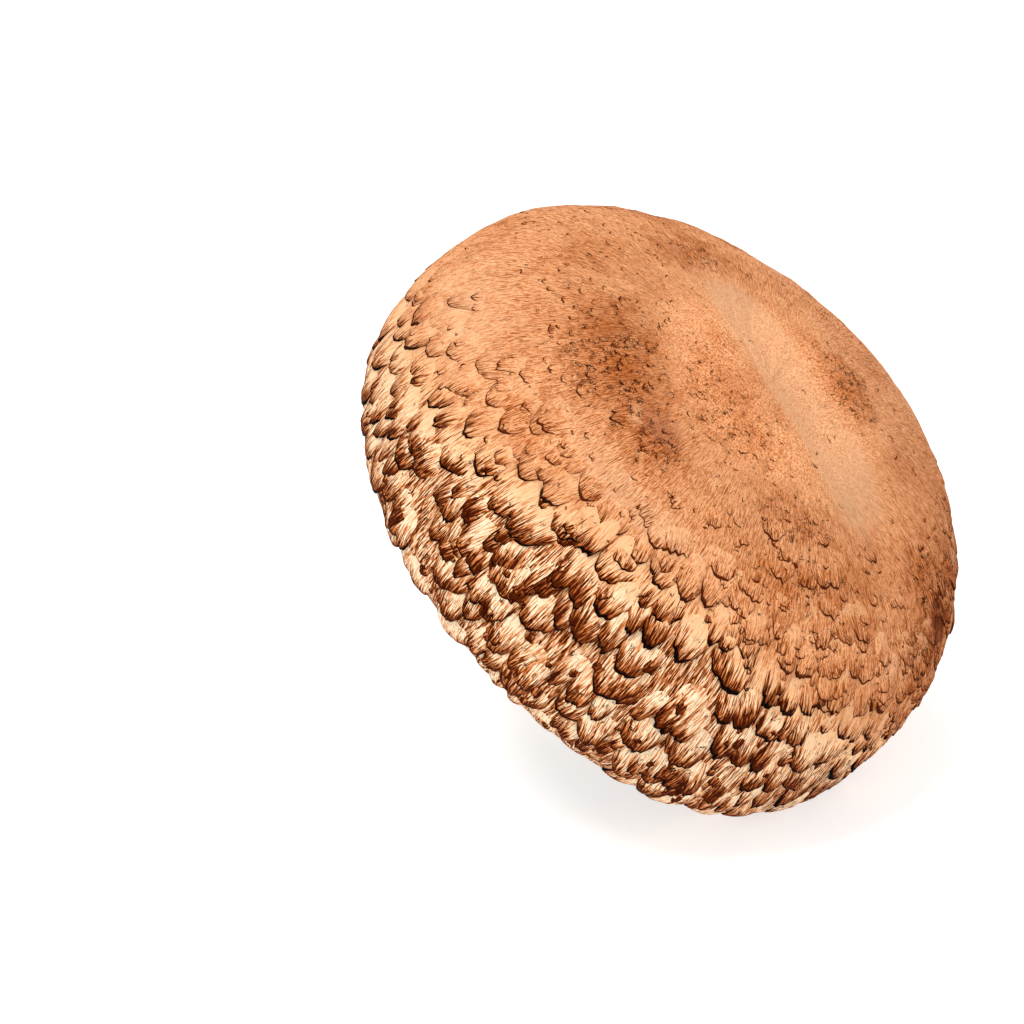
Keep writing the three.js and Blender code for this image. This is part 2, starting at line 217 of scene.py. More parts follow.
# Patches of the skin: name, angle, distance up, spread across and along, strength.
DUSKY_PATCHES = [
    ("brown cloud on the near dome", -2.4, 60, 16, 10, 1.0),
    ("brown cloud near the top", -3.05, 54, 14, 8, 0.35),
    ("brown beyond the crown", 2.4, 60, 12, 6, 0.7),
    ("brown streak below the cloud", -1.9, 60, 8, 6, 0.8),
    ("speckles beside the furrow", -1.9, 76, 16, 12, 0.55),
    # The dark bank is partly its own brown, partly painted shade beside the furrow.
    ("dark bank beside the furrow", 1.0, 72, 9, 5, 1.15),
    ("tan far side of the furrow", 0.9, 78, 14, 4, 0.4),
    ("brown far bank", 0.45, 63, 12, 7, 0.3),
    ("speckled near bank", -0.85, 53, 18, 10, 0.55),
    ("cracked top of the near bank", -0.95, 65, 9, 6, 0.75),
    # The low side is browner, partly its own colour and partly painted shade where it turns from the light.
    ("browner low side with painted shade", 0.1, 34, 26, 16, 1.3),
    ("charred streaks on the low side", -0.04, 41, 7, 11, 2.1),
    ("brown lower margin", -0.45, 15, 16, 14, 0.95),
    ("far side", 2.2, 35, 40, 16, 0.6),
]
# Paler patches: partly the skin's own paler tone, partly painted highlight on slopes that face the light.
PALE_AND_HIGHLIGHT_PATCHES = [
    ("pale shoulder", -2.75, 36, 20, 11, 0.7),
    ("pale band under the brown cloud", -1.75, 49, 20, 4, 0.8),
    ("pale bank", -1.25, 61, 10, 5, 0.4),
]
BRUISE_PATCHES = [
    ("grey bruise", -1.94, 62.4, 4.4, 2.8, 0.55),
]


def patch_share(patches, angle, up):
    share = np.zeros_like(angle)
    for _, middle, height, across, along, strength in patches:
        turn = np.arctan2(np.sin(angle - middle), np.cos(angle - middle))
        radius = outline_radius(SKIN_LENGTH - up)
        far = (turn * radius / across) ** 2 + ((up - height) / along) ** 2
        share = np.maximum(share, strength * np.exp(-far))
    return share


def set_attributes(mesh, **attributes):
    """Stores numbers or vectors for all vertices, which a material can read by these names."""
    for name, values in attributes.items():
        kind, field, size = ("FLOAT_VECTOR", "vector", 3) if np.ndim(values) == 2 else ("FLOAT", "value", 1)
        layer = mesh.attributes.get(name) or mesh.attributes.new(name, kind, "POINT")
        values = np.asarray(values, dtype=np.float32).ravel()
        layer.data.foreach_set(field, np.resize(values, size * len(mesh.vertices)))


def mark_skin(mesh, angle, up, grain, tipward, tone, flesh=0.0, from_slit=9.0):
    """Stores what the skin's material reads: the lie of its fibres, nearness to a tip, tone and patches."""
    place = skin_place(angle, up, np.zeros_like(up))
    dusky = patch_share(DUSKY_PATCHES, angle, up)
    # The furrow is painted paler: partly its own tone, partly painted highlight on its lit slopes.
    furrow_pale_highlight = smooth(0.2, 0.7, furrow_share(place[..., 0], place[..., 1]))
    furrow_pale_highlight = furrow_pale_highlight * smooth(*FURROW_PALE_HIGHLIGHT_FADE, up) * (1 - np.clip(dusky, 0, 1))
    pale = np.maximum(patch_share(PALE_AND_HIGHLIGHT_PATCHES, angle, up), furrow_pale_highlight)
    set_attributes(mesh, grain=grain, tipward=tipward, tone=tone, flesh=flesh, from_slit=from_slit)
    set_attributes(
        mesh,
        shaggy=shagginess(angle, up),
        combed=smooth(*COMBED_FADE, SKIN_LENGTH - up),
        dusky=dusky,
        pale=pale,
        bruise=patch_share(BRUISE_PATCHES, angle, up),
    )


def linear(red, green, blue):
    """A colour named in everyday 0 to 255 values, as the shader takes it."""
    return tuple(((c / 255) ** 2.2) for c in (red, green, blue)) + (1.0,)


def start_material(name):
    """A new material with one shader, and the node tree that it is in."""
    material = bpy.data.materials.new(name)
    material.use_nodes = True
    tree = material.node_tree
    tree.nodes.clear()
    output = tree.nodes.new("ShaderNodeOutputMaterial")
    shader = tree.nodes.new("ShaderNodeBsdfPrincipled")
    tree.links.new(shader.outputs["BSDF"], output.inputs["Surface"])
    return material, tree, shader


def read_attribute(tree, name, output="Fac"):
    node = tree.nodes.new("ShaderNodeAttribute")
    node.attribute_name = name
    return node.outputs[output]


def feed(tree, node, values):
    """Gives the node's inputs their values: numbers, colours, or what comes out of other nodes."""
    for name, value in values.items():
        if isinstance(value, (int, float, tuple)):
            node.inputs[name].default_value = value
        else:
            tree.links.new(value, node.inputs[name])


def mathed(operation, *values, clamp=False):
    tree = next(value.id_data for value in values if not isinstance(value, (int, float)))
    node = tree.nodes.new("ShaderNodeMath")
    node.operation = operation
    node.use_clamp = clamp
    feed(tree, node, dict(enumerate(values)))
    return node.outputs[0]


def scaled(value, factor, added, clamp=False):
    """The value times the factor, and then something added."""
    return mathed("MULTIPLY_ADD", value, factor, added, clamp=clamp)


def ranged(value, low, high, to_low=0.0, to_high=1.0):
    """Goes smoothly from one number to the other while the value goes from low to high."""
    node = value.id_data.nodes.new("ShaderNodeMapRange")
    node.interpolation_type = "SMOOTHSTEP"
    limits = {"From Min": low, "From Max": high, "To Min": to_low, "To Max": to_high}
    feed(value.id_data, node, {"Value": value, **limits})
    return node.outputs["Result"]


def mixed(tree, share, first, second):
    """Mixes two colours."""
    node = tree.nodes.new("ShaderNodeMix")
    node.data_type = "RGBA"
    feed(tree, node, {0: share, 6: first, 7: second})
    return node.outputs[2]


def blended(share, first, second):
    """Mixes two plain numbers."""
    node = share.id_data.nodes.new("ShaderNodeMix")
    feed(share.id_data, node, {0: share, 2: first, 3: second})
    return node.outputs[0]


def noised(vector, size, detail, roughness, distortion=0.0):
    """Noise whose features are about this many units across, the same or different along each axis."""
    sizes = size if isinstance(size, tuple) else (size, size, size)
    tree = vector.id_data
    stretch = tree.nodes.new("ShaderNodeMapping")
    feed(tree, stretch, {"Vector": vector, "Scale": tuple(1 / s for s in sizes)})
    node = tree.nodes.new("ShaderNodeTexNoise")
    feed(tree, node, {"Vector": stretch.outputs["Vector"], "Scale": 1.0, "Detail": detail})
    feed(tree, node, {"Roughness": roughness, "Distortion": distortion})
    return node.outputs["Fac"]


def bumped(shader, height, distance, strength):
    tree = height.id_data
    bump = tree.nodes.new("ShaderNodeBump")
    feed(tree, bump, {"Strength": strength, "Distance": distance, "Height": height})
    tree.links.new(bump.outputs["Normal"], shader.inputs["Normal"])


def set_surface(tree, shader, colour, roughness, gloss):
    feed(tree, shader, {"Base Color": colour, "Roughness": roughness, "Specular IOR Level": gloss})


CREAM = linear(250, 226, 190)
PEACH = linear(246, 194, 146)
BEIGE = linear(224, 172, 131)
PALE_TAN = linear(241, 178, 130)
TAN = linear(216, 134, 80)
ORANGE_BROWN = linear(188, 102, 48)
BROWN = linear(130, 58, 18)
DARK_BROWN = linear(48, 13, 2)
# Near-black painted shade, for the gaps under the scales' lips, the lips' undersides and the cracks.
CREVICE_SHADE = linear(8, 2, 1)
BRUISE_GREY = linear(158, 98, 72)


def skin_material():
    material, tree, shader = start_material("fibrous brown cap skin")
    grain = read_attribute(tree, "grain", "Vector")
    names = ("tipward", "tone", "shaggy", "dusky", "pale", "combed")
    tipward, tone, shaggy, dusky, pale, combed = [read_attribute(tree, name) for name in names]
    place = tree.nodes.new("ShaderNodeTexCoord").outputs["Object"]

    clouds = noised(place, 0.012, detail=4, roughness=0.6)
    mottles = noised(place, 0.0026, detail=5, roughness=0.7)
    specks = noised(place, 0.0003, detail=2, roughness=0.6, distortion=0.5)
    wrinkles = noised(place, 0.0009, detail=3, roughness=0.6, distortion=0.8)
    breaks = noised(place, 0.0014, detail=1, roughness=0.5)
    strands = noised(grain, (0.5, 0.5, 4.2), detail=3, roughness=0.6, distortion=0.5)
    hairs = noised(grain, (0.17, 0.17, 2.4), detail=2, roughness=0.6, distortion=0.5)
    dashes = noised(grain, (0.18, 0.18, 1.0), detail=2, roughness=0.6, distortion=0.8)
    fibres = blended(combed, specks, dashes)

    # The brown patches have torn edges, and the pale ones soft, mottled edges.
    pale = ranged(scaled(mottles, 0.8, pale), 0.45, 1.35)
    torn = scaled(mottles, 1.1, mathed("SUBTRACT", dusky, 0.55))
    dusky = ranged(torn, 0.12, 0.9)
    charred = ranged(torn, 1.25, 2.0)

    # Bare skin: pale and brown fibres side by side, browner in clouds, paler in the furrow and the pale
    # patches, which are partly painted highlight.
    brownness = scaled(dusky, 0.55, ranged(clouds, 0.38, 0.66, 0.0, 0.38))
    brownness = scaled(ranged(mottles, 0.48, 0.66), 0.2, brownness)
    brownness = scaled(pale, -0.4, mathed("ADD", brownness, 0.05), clamp=True)
    light_fibre = mixed(tree, brownness, PALE_TAN, mixed(tree, 0.3, TAN, ORANGE_BROWN))
    light_fibre = mixed(tree, mathed("MULTIPLY", pale, 0.95), light_fibre, BEIGE)
    dark_fibre = mixed(tree, brownness, mixed(tree, 0.8, TAN, ORANGE_BROWN), BROWN)
    fibre_share = ranged(fibres, 0.45, 0.60)
    fibre_share = mathed("MULTIPLY", fibre_share, ranged(pale, 0.2, 0.9, 1.0, 0.7))
    bare = mixed(tree, fibre_share, light_fibre, dark_fibre)

    # Fine wrinkles run all through the brown patches.
    off_wrinkle = mathed("ABSOLUTE", mathed("SUBTRACT", wrinkles, 0.5))
    wrinkle_share = mathed("MULTIPLY", ranged(off_wrinkle, 0.015, 0.05, 0.9, 0.0), dusky)
    wrinkle_share = mathed("MULTIPLY", wrinkle_share, ranged(breaks, 0.4, 0.55, 0.15, 1.0))
    bare = mixed(tree, wrinkle_share, bare, mixed(tree, 0.3, BROWN, DARK_BROWN))

    # Where a weak scale begins the skin is pale; dark hairs thicken towards its tip and in brown patches.
    root = ranged(tipward, 0.0, 0.35, 0.8, 0.0)
    root = mathed("MULTIPLY", root, ranged(shaggy, 0.0, 0.2, 0.3, 1.0))
    bare = mixed(tree, root, bare, PEACH)
    thickening = scaled(tipward, 0.22, hairs)
    thickening = scaled(mathed("MULTIPLY", dusky, combed), 0.05, thickening)
    thickening = scaled(charred, 0.16, thickening)
    thickening = mathed("SUBTRACT", thickening, ranged(combed, 0.4, 1.0, 0.3, 0.1))
    bare = mixed(tree, ranged(thickening, 0.59, 0.64), bare, mixed(tree, 0.35, ORANGE_BROWN, BROWN))
    bare = mixed(tree, ranged(thickening, 0.63, 0.69), bare, mixed(tree, 0.5, BROWN, DARK_BROWN))
    bare = mixed(tree, read_attribute(tree, "bruise"), bare, BRUISE_GREY)

    # Split skin: cream flesh at a scale's root, brown strands that close up towards its dark tip.
    stroke = scaled(strands, 0.42, mathed("MULTIPLY", hairs, 0.58))
    fill = scaled(tipward, 0.88, ranged(stroke, 0.40, 0.60, 0.0, 0.72))
    fill = scaled(tone, 0.24, mathed("SUBTRACT", fill, 0.52))
    fill = mathed("SUBTRACT", fill, ranged(shaggy, 0.1, 0.8, 0.3, 0.0))
    scale = mixed(tree, ranged(shaggy, 0.25, 0.8), PEACH, CREAM)
    scale = mixed(tree, ranged(fill, -0.06, 0.14), scale, PEACH)
    scale = mixed(tree, ranged(hairs, 0.48, 0.62, 0.0, 0.5), scale, TAN)
    scale = mixed(tree, ranged(fill, 0.12, 0.28), scale, mixed(tree, 0.5, TAN, ORANGE_BROWN))
    scale = mixed(tree, ranged(fill, 0.36, 0.48), scale, BROWN)
    scale = mixed(tree, ranged(fill, 0.52, 0.66), scale, DARK_BROWN)
    hair_edge = mathed("SUBTRACT", thickening, ranged(shaggy, 0.1, 0.8, 0.07, 0.0))
    scale = mixed(tree, ranged(hair_edge, 0.555, 0.61), scale, mixed(tree, 0.8, BROWN, DARK_BROWN))
    split = ranged(scaled(strands, 0.5, shaggy), 0.24, 0.62)
    colour = mixed(tree, split, bare, scale)

    # Here and there the skin has opened into a short crack, painted in the near-black shade of an opening.
    open_edge = scaled(dusky, -0.15, scaled(pale, 0.12, 0.67))
    open_edge = scaled(shaggy, -0.05, open_edge)
    crack_shade_share = ranged(mathed("SUBTRACT", breaks, open_edge), 0.0, 0.04)
    crack_shade_share = mathed("MULTIPLY", crack_shade_share, ranged(off_wrinkle, 0.014, 0.034, 0.97, 0.0))
    colour = mixed(tree, crack_shade_share, colour, CREVICE_SHADE)

    # Painted shade: the gap under a lip shows as a dark line, near-black where the skin is split and dark
    # brown elsewhere, wavering with the ends of the fibres. The lips' undersides are painted the same
    # shade.
    slit_shade_colour = mixed(tree, ranged(shaggy, 0.0, 0.35), mixed(tree, 0.75, BROWN, DARK_BROWN), CREVICE_SHADE)
    wavering = ranged(hairs, 0.35, 0.65, -0.3, 0.3)
    from_slit = mathed("ADD", read_attribute(tree, "from_slit"), wavering)
    slit_shade = ranged(from_slit, 0.7, 1.15, 0.96, 0.0)
    slit_shade = mathed("MAXIMUM", slit_shade, ranged(tipward, 1.05, 1.3))
    colour = mixed(tree, slit_shade, colour, slit_shade_colour)

    # Inside the lip there is no skin, only pale flesh.
    inner = mixed(tree, ranged(mottles, 0.4, 0.65), CREAM, PALE_TAN)
    colour = mixed(tree, read_attribute(tree, "flesh"), colour, inner)

    # The fibres stand up a little, and cracks and slits are sunk.
    combed_stroke = mathed("MULTIPLY", stroke, ranged(combed, 0.1, 1.0, -0.15, -0.9))
    relief = scaled(specks, -0.25, combed_stroke)
    relief = scaled(mathed("MAXIMUM", crack_shade_share, slit_shade), -0.3, relief)
    bumped(shader, relief, 0.0007, 0.8)
    set_surface(tree, shader, colour, ranged(stroke, 0.4, 0.6, 0.7, 0.9), 0.03)
    return material


cap_skin = skin_material()


def make_active(piece):
    bpy.ops.object.select_all(action="DESELECT")
    piece.select_set(True)
    bpy.context.view_layer.objects.active = piece


def finish_piece(piece, material, angle=40):
    make_active(piece)
    piece.data.materials.clear()
    piece.data.materials.append(material)
    bpy.ops.object.shade_smooth_by_angle(angle=math.radians(angle))
    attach(piece, "root")


def add_sheet(name, across, along):
    """A flat grid from 0 to 1 both ways, to be rolled up or draped."""
    bpy.ops.object.select_all(action="DESELECT")
    bpy.ops.mesh.primitive_grid_add(x_subdivisions=across, y_subdivisions=along, size=1)
    sheet = bpy.context.active_object
    sheet.name = name
    points = read_points(sheet.data)
    sheet.data.vertices.foreach_set("co", (points + (0.5, 0.5, 0)).ravel())
    return sheet


def add_tube(name, stations, rings):
    """A sheet to be closed round the axis, with each vertex's direction and the number of its ring."""
    tube = add_sheet(name, stations, rings)
    flat = read_points(tube.data)
    return tube, flat[:, 0] * math.tau, np.rint(flat[:, 1] * rings).astype(int)


def add_object(name, data):
    thing = bpy.data.objects.new(name, data)
    bpy.context.collection.objects.link(thing)
    return thing


def read_points(mesh):
    points = np.empty(len(mesh.vertices) * 3)
    mesh.vertices.foreach_get("co", points)
    return points.reshape(-1, 3)


def lay_points(mesh, upright):
    """Moves the vertices to these upright points, leaned over to where the mushroom lies."""
    mesh.vertices.foreach_set("co", set_down(upright).ravel())


def close_up(piece):
    """Joins the points that meet at a seam or a pole, and turns all faces outwards."""
    make_active(piece)
    bpy.ops.object.mode_set(mode="EDIT")
    bpy.ops.mesh.select_all(action="SELECT")
    bpy.ops.mesh.remove_doubles(threshold=SEAM_GAP)
    bpy.ops.mesh.normals_make_consistent(inside=False)
    bpy.ops.object.mode_set(mode="OBJECT")


def lumps(angle, up, size, seed):
    """Gentle unevenness from -1 to 1, with no seam round the cap."""
    spots = around(CAP_RADIUS, angle, up) / size
    return np.array([noise.noise(Vector(spot) + Vector((seed, 0, 0))) for spot in spots])


def make_cap():
    cap, angle, row = add_tube("cap_skin", SKIN_STATIONS, SKIN_RINGS + LIP_RINGS + ROOF_RINGS)

    up = SKIN_LENGTH * (1 - np.clip(row / SKIN_RINGS, 0, 1))
    crown_fade = smooth(0, 12, SKIN_LENGTH - up)
    height = sum(rise * lumps(angle, up, size, seed) for rise, size, seed in SKIN_LUMPS)
    points = skin_place(angle, up, height * crown_fade)

    # Past the skin: round the blunt lip, up the chamber's wall and in under the flesh to the middle.
    lip = row > SKIN_RINGS
    turn = np.clip((row - SKIN_RINGS) / LIP_RINGS, 0, 1) * math.pi / 2
    lip_r = CHAMBER_RADIUS + (TURN_RADIUS - CHAMBER_RADIUS) * np.cos(turn) ** 0.8
    edge_z = OUTLINE_Z[-1]
    lip_z = edge_z + (LIP_LOW - edge_z) * np.sin(2 * turn)
    lip_z += (CHAMBER_MOUTH - edge_z) * (1 - np.cos(turn)) ** 2
    shape = 1 + (waviness(angle) - 1) * smooth(CHAMBER_RADIUS, TURN_RADIUS, lip_r)
    points[lip] = around(lip_r * shape, angle, lip_z - margin_drop(angle, lip_z))[lip]
    roof = row > SKIN_RINGS + LIP_RINGS
    inward = np.clip((row - SKIN_RINGS - LIP_RINGS) / ROOF_RINGS, 0, 1)
    bends = [0, ROOF_WALL_END, ROOF_SLOPE_END, 1]
    roof_r = np.interp(inward, bends, [CHAMBER_RADIUS, CHAMBER_RADIUS, CEILING_BREAK, 0])
    roof_z = np.interp(inward, bends, [CHAMBER_MOUTH, CEILING_EDGE, CEILING_MIDDLE, CEILING_MIDDLE])
    wave = margin_drop(angle, roof_z) * (1 - smooth(0, ROOF_WALL_END, inward))
    points[roof] = around(roof_r, angle, roof_z - wave)[roof]

    lay_points(cap.data, points)
    grain = around(CAP_RADIUS, angle, up)
    flesh = smooth(SKIN_RINGS + 1, SKIN_RINGS + 4, row)
    mark_skin(cap.data, angle, up, grain, tipward=0.45, tone=0.4, flesh=flesh)
    close_up(cap)
    finish_piece(cap, cap_skin)
    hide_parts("cap")
    return cap


cap = make_cap()


# ---- Cap: the broad scales -----------------------------------
# As the cap grows, its skin splits into overlapping scales. Each is a tongue of fibres that stays rooted
# in the flesh towards the crown and lifts at its ragged tip, with painted shade in the gap under the tip.

SCALE_ROWS = 9
ROW_PITCH = 5.2
ROW_START = 0.5
ROW_WAVE = 1.2
ROW_RIPPLE = 0.6
SCALES_ROUND = 44
TIP_DROP = 1.1
LIP_HEIGHT = 1.15
LIP_HEIGHT_WEAK = 0.3

WEAKEST = 0.04
PAIR_WIDTH = 0.62
PAIR_SPREAD = 0.47
UNDERCUT = 0.22

SCALE_COLUMNS = 12
SCALE_STEPS = 4


def draw(row, place, salt):
    """A steady random number from 0 to 1 for the scale in this row and place."""
    value = math.sin(row * 12.9898 + place * 78.233 + salt * 37.719) * 43758.5453
    return value - math.floor(value)


def row_wave(row, angle):
    """How far this row of scales runs above or below its level in this direction."""
    wave = ROW_WAVE * math.sin(2 * angle + 0.4 * row) + ROW_RIPPLE * math.sin(5 * angle - 0.9 * row)
    return wave * min(1, row / 3)


def select_edges(piece, wanted):
    """In edit mode, selects the open edges whose two ends are as wanted, and nothing else."""
    bpy.ops.mesh.select_all(action="DESELECT")
    form = bmesh.from_edit_mesh(piece.data)
    for edge in form.edges:
        if edge.is_boundary and wanted(*[vert.co for vert in edge.verts]):
            edge.select_set(True)
    form.select_flush_mode()
    bmesh.update_edit_mesh(piece.data)


def add_scale_pattern(name, columns, steps):
    """One flat scale: x across from -1 to 1, y from its root at 0 to its tip at 1, z = -1 underneath."""
    pattern = add_sheet(name, columns, steps)
    points = read_points(pattern.data)
    points[:, 0] = points[:, 0] * 2 - 1
    points[:, 1] = 1 - (1 - points[:, 1]) ** 1.5
    pattern.data.vertices.foreach_set("co", points.ravel())
    bpy.ops.object.mode_set(mode="EDIT")

    # The tip turns down and back a little, and one long face runs from there to the root.
    select_edges(pattern, lambda a, b: min(a.y, b.y) > 0.999)
    bpy.ops.mesh.extrude_region_move(TRANSFORM_OT_translate={"value": (0, 0, -1)})
    bpy.ops.mesh.extrude_region_move(TRANSFORM_OT_translate={"value": (0, -UNDERCUT, 0)})

    def at_root_or_undercut(a, b):
        back = max(a.y, b.y)
        return back < 0.001 or (back < 0.9 and max(a.z, b.z) < -0.9)

    select_edges(pattern, at_root_or_undercut)
    bpy.ops.mesh.bridge_edge_loops()
    for side in (-1, 1):
        select_edges(pattern, lambda a, b: min(a.x * side, b.x * side) > 0.999)
        bpy.ops.mesh.edge_face_add()

    # Laying it on the cap turns the pattern inside out, so its faces point inwards until then.
    bpy.ops.mesh.select_all(action="SELECT")
    bpy.ops.mesh.normals_make_consistent(inside=True)
    bpy.ops.object.mode_set(mode="OBJECT")
    return pattern


def drape_scale(pattern, spec, rng, ground=None):
    """A copy of the pattern, shaped and laid on the cap, or on the ground that is given, as this scale."""
    flat = read_points(pattern.data)
    u, v, under = flat[:, 0], flat[:, 1], flat[:, 2] < -0.5
    columns, column = np.unique(np.round(u, 4), return_inverse=True)

    # Its tip is cut back to both sides of its peak, and frayed at random along the edge.
    fray = rng.normal(0, spec["ragged"], len(columns))[column]
    off_peak = np.abs(u - spec["peak"]) / np.where(u > spec["peak"], 1 - spec["peak"], 1 + spec["peak"])
    length = spec["length"] - spec["cut"] * off_peak ** 2.3 + fray
    rim = np.where(under & (v > 0.999), spec["rim"] * (1 - off_peak ** 3), 0)
    across = u * 0.5 * spec["width"] * (1 - spec["taper"] * v ** 2)
    from_tip = spec["length"] - v * length - rim
    turn = spec["turn"]
    side = across * math.cos(turn) + from_tip * math.sin(turn)
    up = spec["tip"] + from_tip * math.cos(turn) - across * math.sin(turn)
    angle = spec["angle"] + side / np.maximum(outline_radius(SKIN_LENGTH - up), 3)

    # It rises towards the tip, while its root and both its sides are sunk in the skin.
    rise = v ** 1.3 - 0.12 * smooth(0.85, 1.0, v) + spec["bulge"] * np.sin(math.pi * v) * (1 - u ** 2)
    hold = (1 - 0.75 * np.abs(u) ** 3) * (1 + spec["roll"] * u)
    height = spec["height"] * rise * hold - spec["sunk"] * (1 - v) - spec["sunk"] * np.abs(u) ** 6
    height = np.where(under, height - spec["thick"] - (1 - v) * 1.2 * spec["height"], height)
    if ground is not None:
        height = height + ground(angle, up)

    mesh = pattern.data.copy()
    lay_points(mesh, skin_place(angle, up, height))
    own_fibres = np.full_like(u, 7.3 * spec["seed"])
    grain = np.stack([u * 0.5 * spec["width"], own_fibres, -(1 - v) * length], axis=-1)
    # Undersides are marked 1.5, which the skin's material paints in the near-black shade of the gap under a
    # lip.
    tipward = np.where(under, 1.5, 1 - np.clip((1 - v) * length / spec["reach"], 0, 1))
    nibble = rng.uniform(0.6, 1.2, len(columns))[column]
    # How wide the painted shade line along the lip's edge is.
    slit_shade_width = spec["slit_shade"] * nibble * np.clip(1.15 - 1.1 * np.abs(u - spec["peak"]) ** 1.5, 0.2, 1)
    from_slit = (1 - v) * length / slit_shade_width
    mark_skin(mesh, angle, up, grain, tipward, spec["tone"], from_slit=from_slit)
    return add_object("scale", mesh)


def join_pieces(name, pieces):
    bpy.ops.object.select_all(action="DESELECT")
    for piece in pieces:
        piece.select_set(True)
    bpy.context.view_layer.objects.active = pieces[0]
    bpy.ops.object.join()
    pieces[0].name = name
    return pieces[0]


def broad_scales():
    """One broad tongue, or two narrower ones, in nearly each place of each staggered row."""
    specs = []
    for row in range(SCALE_ROWS):
        for place in range(SCALES_ROUND):
            middle = (place - 0.5 * (row % 2)) * math.tau / SCALES_ROUND
            middle += (draw(row, place, 3) - 0.5) * 0.10
            strength = float(scaliness(np.array(middle), np.array(row * ROW_PITCH)))
            if strength < WEAKEST or draw(row, place, 11) < 0.04 + 0.4 * (1 - strength) ** 3:
                continue
            tongues = 2 if draw(row, place, 17) < 0.1 + 0.5 * strength else 1
            for tongue in range(tongues):
                luck = [draw(row, place, number + 20 * tongue) for number in range(20)]
                angle = middle + (tongue - 0.5) * PAIR_SPREAD * math.tau / SCALES_ROUND * (tongues - 1)
                tip = (row + ROW_START) * ROW_PITCH + row_wave(row, angle)
                tip -= TIP_DROP * (0.4 + 1.2 * draw(row, place, 1)) - 1.5 * (luck[12] - 0.4)
                level = (0.6 + 0.6 * draw(row, place, 2)) * (1 - 0.3 * luck[18])
                radius = float(outline_radius(SKIN_LENGTH - tip - 4))
                width = math.tau * radius / SCALES_ROUND * (1.0 + 0.45 * luck[4])
                width *= PAIR_WIDTH if tongues == 2 else 1
                specs.append({
                    "angle": angle,
                    "tip": tip,
                    "turn": 0.5 * (luck[13] - 0.5),
                    "roll": 0.8 * (luck[14] - 0.6),
                    "peak": 1.1 * (luck[8] - 0.5),
                    "width": width,
                    "length": ROW_PITCH * (1.6 + 0.5 * luck[5]),
                    "reach": ROW_PITCH * (0.85 + 0.45 * luck[10]),
                    "height": level * (LIP_HEIGHT_WEAK + (LIP_HEIGHT - LIP_HEIGHT_WEAK) * strength),
                    "bulge": 0.35 + 0.35 * luck[15],
                    "slit_shade": 0.2 + 0.5 * strength * (0.2 + 0.9 * luck[19]),
                    "thick": 0.25 + 0.3 * strength,
                    "sunk": 0.35,
                    "rim": 0.1 + 0.35 * strength * (0.5 + 0.7 * luck[16]),
                    "taper": 0.1 + 0.3 * luck[6],
                    "cut": width * (0.3 + 0.3 * luck[7]),
                    "ragged": 0.08 + 0.2 * strength,
                    "tone": luck[9],
                    "seed": (row * SCALES_ROUND + place) * 2 + tongue,
                })
    return specs


def make_scales(name, pattern, specs, ground=None):
    """One piece with a scale for each spec. The pattern is used up."""
    rng = np.random.default_rng(11)
    scales = [drape_scale(pattern, spec, rng, ground) for spec in specs]
    bpy.data.objects.remove(pattern, do_unlink=True)
    piece = join_pieces(name, scales)
    finish_piece(piece, cap_skin, angle=55)
    return piece


broad_pattern = add_scale_pattern("scale_pattern", SCALE_COLUMNS, SCALE_STEPS)
scales = make_scales("cap_scales", broad_pattern, broad_scales())


# ---- Cap: the small scales -----------------------------------
# Between and on the broad scales the skin has split into smaller tufts, and towards the crown into ever
# finer nicks and flakes that hardly lift. They are the same skin, and lie on whatever is under them.

TUFT_COLUMNS = 8
TUFT_STEPS = 3
PROBE_HEIGHT = 4.0

# Name, how many, seed, narrowest and widest, height as a share of the width, and how far they turn.
SMALL_KINDS = [
    ("tufts", 200, 5, 1.8, 4.0, 0.06, 0.3),
    ("nicks", 800, 6, 0.8, 3.0, 0.04, 0.8),
    ("flakes", 250, 7, 2.4, 6.5, 0.05, 0.35),
]

# Where the flakes grow: direction and spread, then for each bank beside the furrow the distance up over
# which they fade out and their strength, and for the low side the distance up at which they end.
FLAKY_BANKS = [(-0.6, 0.95, (52, 68), 1.0), (-1.7, 0.8, (46, 60), 0.5)]
FLAKY_BANKS_START = (28, 40)
FLAKY_LOW_SIDE = (0.2, 0.7, 48)


def ground_under(pieces):
    """A function that gives the height of these pieces' surface above the bare skin."""
    corners = []
    faces = []
    for piece in pieces:
        start = len(corners)
        corners.extend(vert.co.copy() for vert in piece.data.vertices)
        faces.extend([start + i for i in face.vertices] for face in piece.data.polygons)
    tree = BVHTree.FromPolygons(corners, faces)

    def height_at(angle, up):
        starts = tilt(skin_place(angle, up, np.full_like(up, PROBE_HEIGHT)))
        ends = tilt(skin_place(angle, up, np.full_like(up, -PROBE_HEIGHT)))
        heights = np.zeros_like(up)
        for i, (start, end) in enumerate(zip(starts, ends)):
            _, _, _, distance = tree.ray_cast(Vector(start), Vector(end - start), 0.002 * PROBE_HEIGHT)
            if distance is not None:
                heights[i] = PROBE_HEIGHT - 1000 * distance
        return heights

    return height_at


def nearness(angle, middle, spread):
    """Falls from 1 in this direction to 0 a spread away from it, to both sides."""
    return max(0.0, 1 - (math.remainder(angle - middle, math.tau) / spread) ** 2)


def wanted_here(name, angle, up, scaly, dusky):
    """How likely this kind of small scale is to grow here."""
    if name == "tufts":
        return scaly ** 0.7
    if name == "nicks":
        return (0.2 + 0.8 * dusky) * (1 - smooth(0.05, 0.6, scaly))
    banks = max(
        strength * nearness(angle, middle, spread) * (1 - smooth(*fade, up))
        for middle, spread, fade, strength in FLAKY_BANKS
    )
    middle, spread, reach = FLAKY_LOW_SIDE
    return max(banks * smooth(*FLAKY_BANKS_START, up), nearness(angle, middle, spread) * (up < reach))


